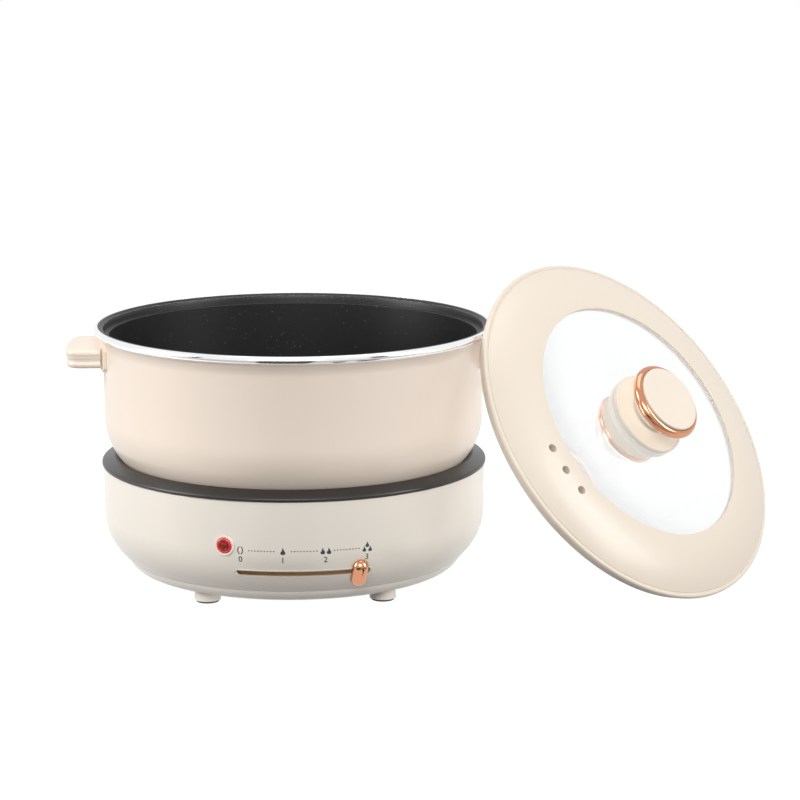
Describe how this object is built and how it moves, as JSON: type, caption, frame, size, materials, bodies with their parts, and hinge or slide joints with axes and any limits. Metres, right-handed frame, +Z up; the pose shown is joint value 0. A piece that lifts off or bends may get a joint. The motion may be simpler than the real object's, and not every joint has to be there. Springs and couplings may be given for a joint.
{
  "type": "electric hot pot with lid",
  "caption": "Electric hot pot: a heating base with a sliding heat control, a removable round pot with two ear handles, and a loose glass lid leaning on the pot.",
  "frame": {"origin": "centre of the heating base on the table it stands on", "axes": "+Z up, controls face -Y, the pot's handles lie along X, the lid leans on the +X side"},
  "size_m": [0.5002, 0.28, 0.2148],
  "materials": {
    "cream_enamel": "satin cream enamel outside, black nonstick inside",
    "rim_chrome": "polished",
    "bare_aluminium": "turned",
    "steel": "plain",
    "handle_cream": "fine satin",
    "base_cream": "satin gloss",
    "collar_dark": "satin dark grey",
    "trim_brown": "satin brown",
    "well_black": "heat-proof black",
    "pad_rubber": "matt",
    "rose_gold": "polished rose gold",
    "lamp_red": "clear red",
    "lamp_pale": "satin",
    "inlet_black": "fine texture",
    "switch_plastic": "plain",
    "white_ceramic": "unglazed",
    "bulb_glass": "clear",
    "lead_insulation": "silicone",
    "lid_cream": "satin gloss",
    "lid_glass": "clear tempered",
    "gasket": "silicone",
    "knob_cream": "satin gloss",
    "brass_pin": "plain"
  },
  "bodies": {
    "base": {"base_shell": "base_cream", "bottom_cover": "base_cream", "collar_ring": "collar_dark", "collar_trim": "trim_brown", "cover_screws": "steel", "foot_pad_1": "pad_rubber", "foot_pad_2": "pad_rubber", "foot_pad_3": "pad_rubber", "foot_pad_4": "pad_rubber", "heating_element": "steel", "heating_plate": "bare_aluminium", "inlet_pins": "brass_pin", "inlet_screws": "steel", "lamp_bezel": "lamp_pale", "lamp_bulb": "bulb_glass", "lamp_lens": "lamp_red", "lead_wires": "lead_insulation", "plate_screws": "steel", "plate_spacers": "steel", "power_inlet": "inlet_black", "reflector": "steel", "reflector_screws": "steel", "selector_switch": "switch_plastic", "sensor_holder": "steel", "sensor_spring": "steel", "terminal_block": "white_ceramic", "thermal_fuse": "steel", "thermostat": "white_ceramic", "well_pan": "well_black"},
    "pot": {"pot_body": "cream_enamel", "rim_ring": "rim_chrome", "pot_base_disc": "bare_aluminium", "handle_left": "handle_cream", "handle_right": "handle_cream", "handle_lug_left": "steel", "handle_lug_right": "steel", "handle_screws": "steel"},
    "lid": {"lid_ring": "lid_cream", "lid_glass": "lid_glass", "glass_gasket": "gasket", "clamp_ring": "steel", "knob_base": "knob_cream", "knob_ring": "rose_gold", "knob_cap": "knob_cream", "knob_washer": "steel", "knob_screw": "steel"},
    "heat_slider": {"slider_knob": "rose_gold", "slider_carriage": "switch_plastic", "slot_strip": "trim_brown", "slider_arm": "steel", "selector_shaft": "steel"},
    "sensor": {"sensor_cap": "steel"}
  },
  "joints": [
    {"name": "pot_lift", "type": "slide", "parent": "base", "child": "pot", "axis": [0, 0, 1], "range_m": [0, 0.12]},
    {"name": "lid_lift", "type": "slide", "parent": "pot", "child": "lid", "axis": [0.5854, -0.5614, 0.585], "range_m": [0, 0.15]},
    {"name": "heat_select", "type": "hinge", "parent": "base", "child": "heat_slider", "pos_m": [0, 0, 0.0318], "axis": [0, 0, 1], "range_deg": [-34.6, 0]},
    {"name": "sensor_press", "type": "slide", "parent": "base", "child": "sensor", "axis": [0, 0, 1], "range_m": [0, 0.003], "deforming": ["sensor_spring"]}
  ],
  "couplings": [
    {"joint": "sensor_press", "follows": "pot_lift", "ratio": 0.025}
  ]
}
